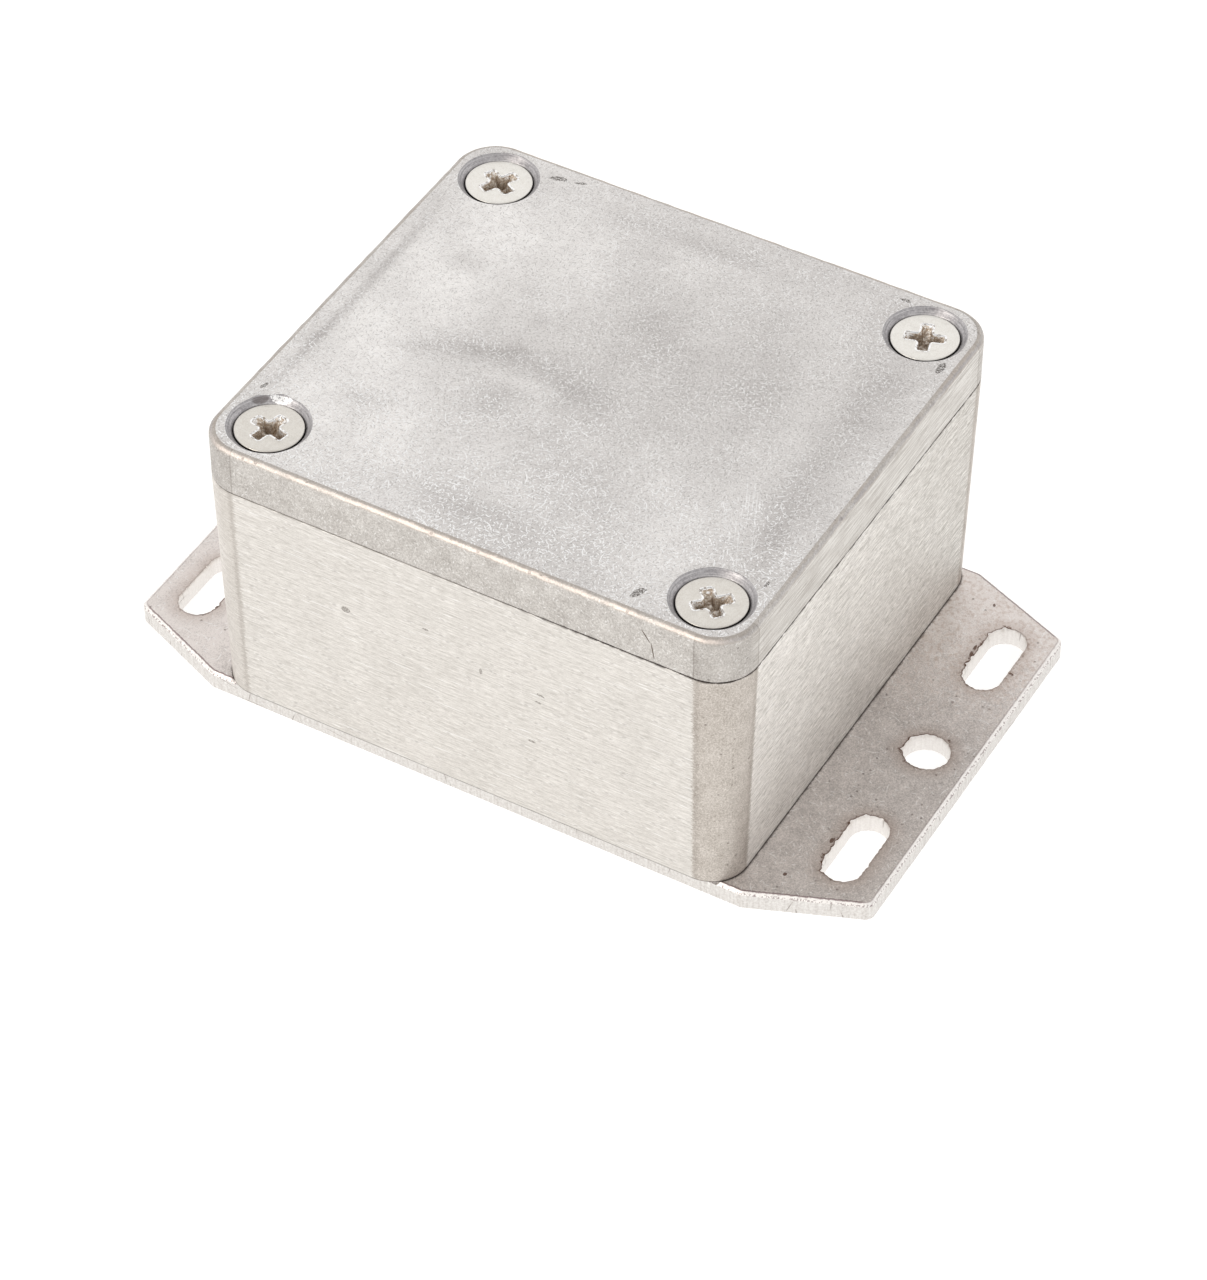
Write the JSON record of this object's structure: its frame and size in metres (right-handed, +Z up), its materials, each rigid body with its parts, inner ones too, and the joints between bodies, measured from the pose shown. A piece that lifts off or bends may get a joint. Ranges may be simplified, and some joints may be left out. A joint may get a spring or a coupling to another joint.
{
  "type": "die cast aluminium box",
  "caption": "Shallow die cast metal enclosure with a screwed, sealed lid and a slotted mounting flange at each end of its floor.",
  "frame": {"origin": "middle of the underside of the floor plate and flanges", "axes": "+X across the box between its two long walls, +Y along the box from flange to flange, +Z up out of the lid"},
  "size_m": [0.058, 0.0904, 0.0376],
  "materials": {
    "base_aluminium": "die cast, the four walls sanded along their length, the flanges as cast",
    "lid_aluminium": "die cast and tumbled, with fine short scratches",
    "gasket_rubber": "matte moulded strip",
    "screw_steel": "satin stainless"
  },
  "bodies": {
    "root": {"base_casting": "base_aluminium", "lid": "lid_aluminium", "lid_gasket": "gasket_rubber", "lid_screw_1": "screw_steel", "lid_screw_2": "screw_steel", "lid_screw_3": "screw_steel", "lid_screw_4": "screw_steel"}
  },
  "joints": []
}
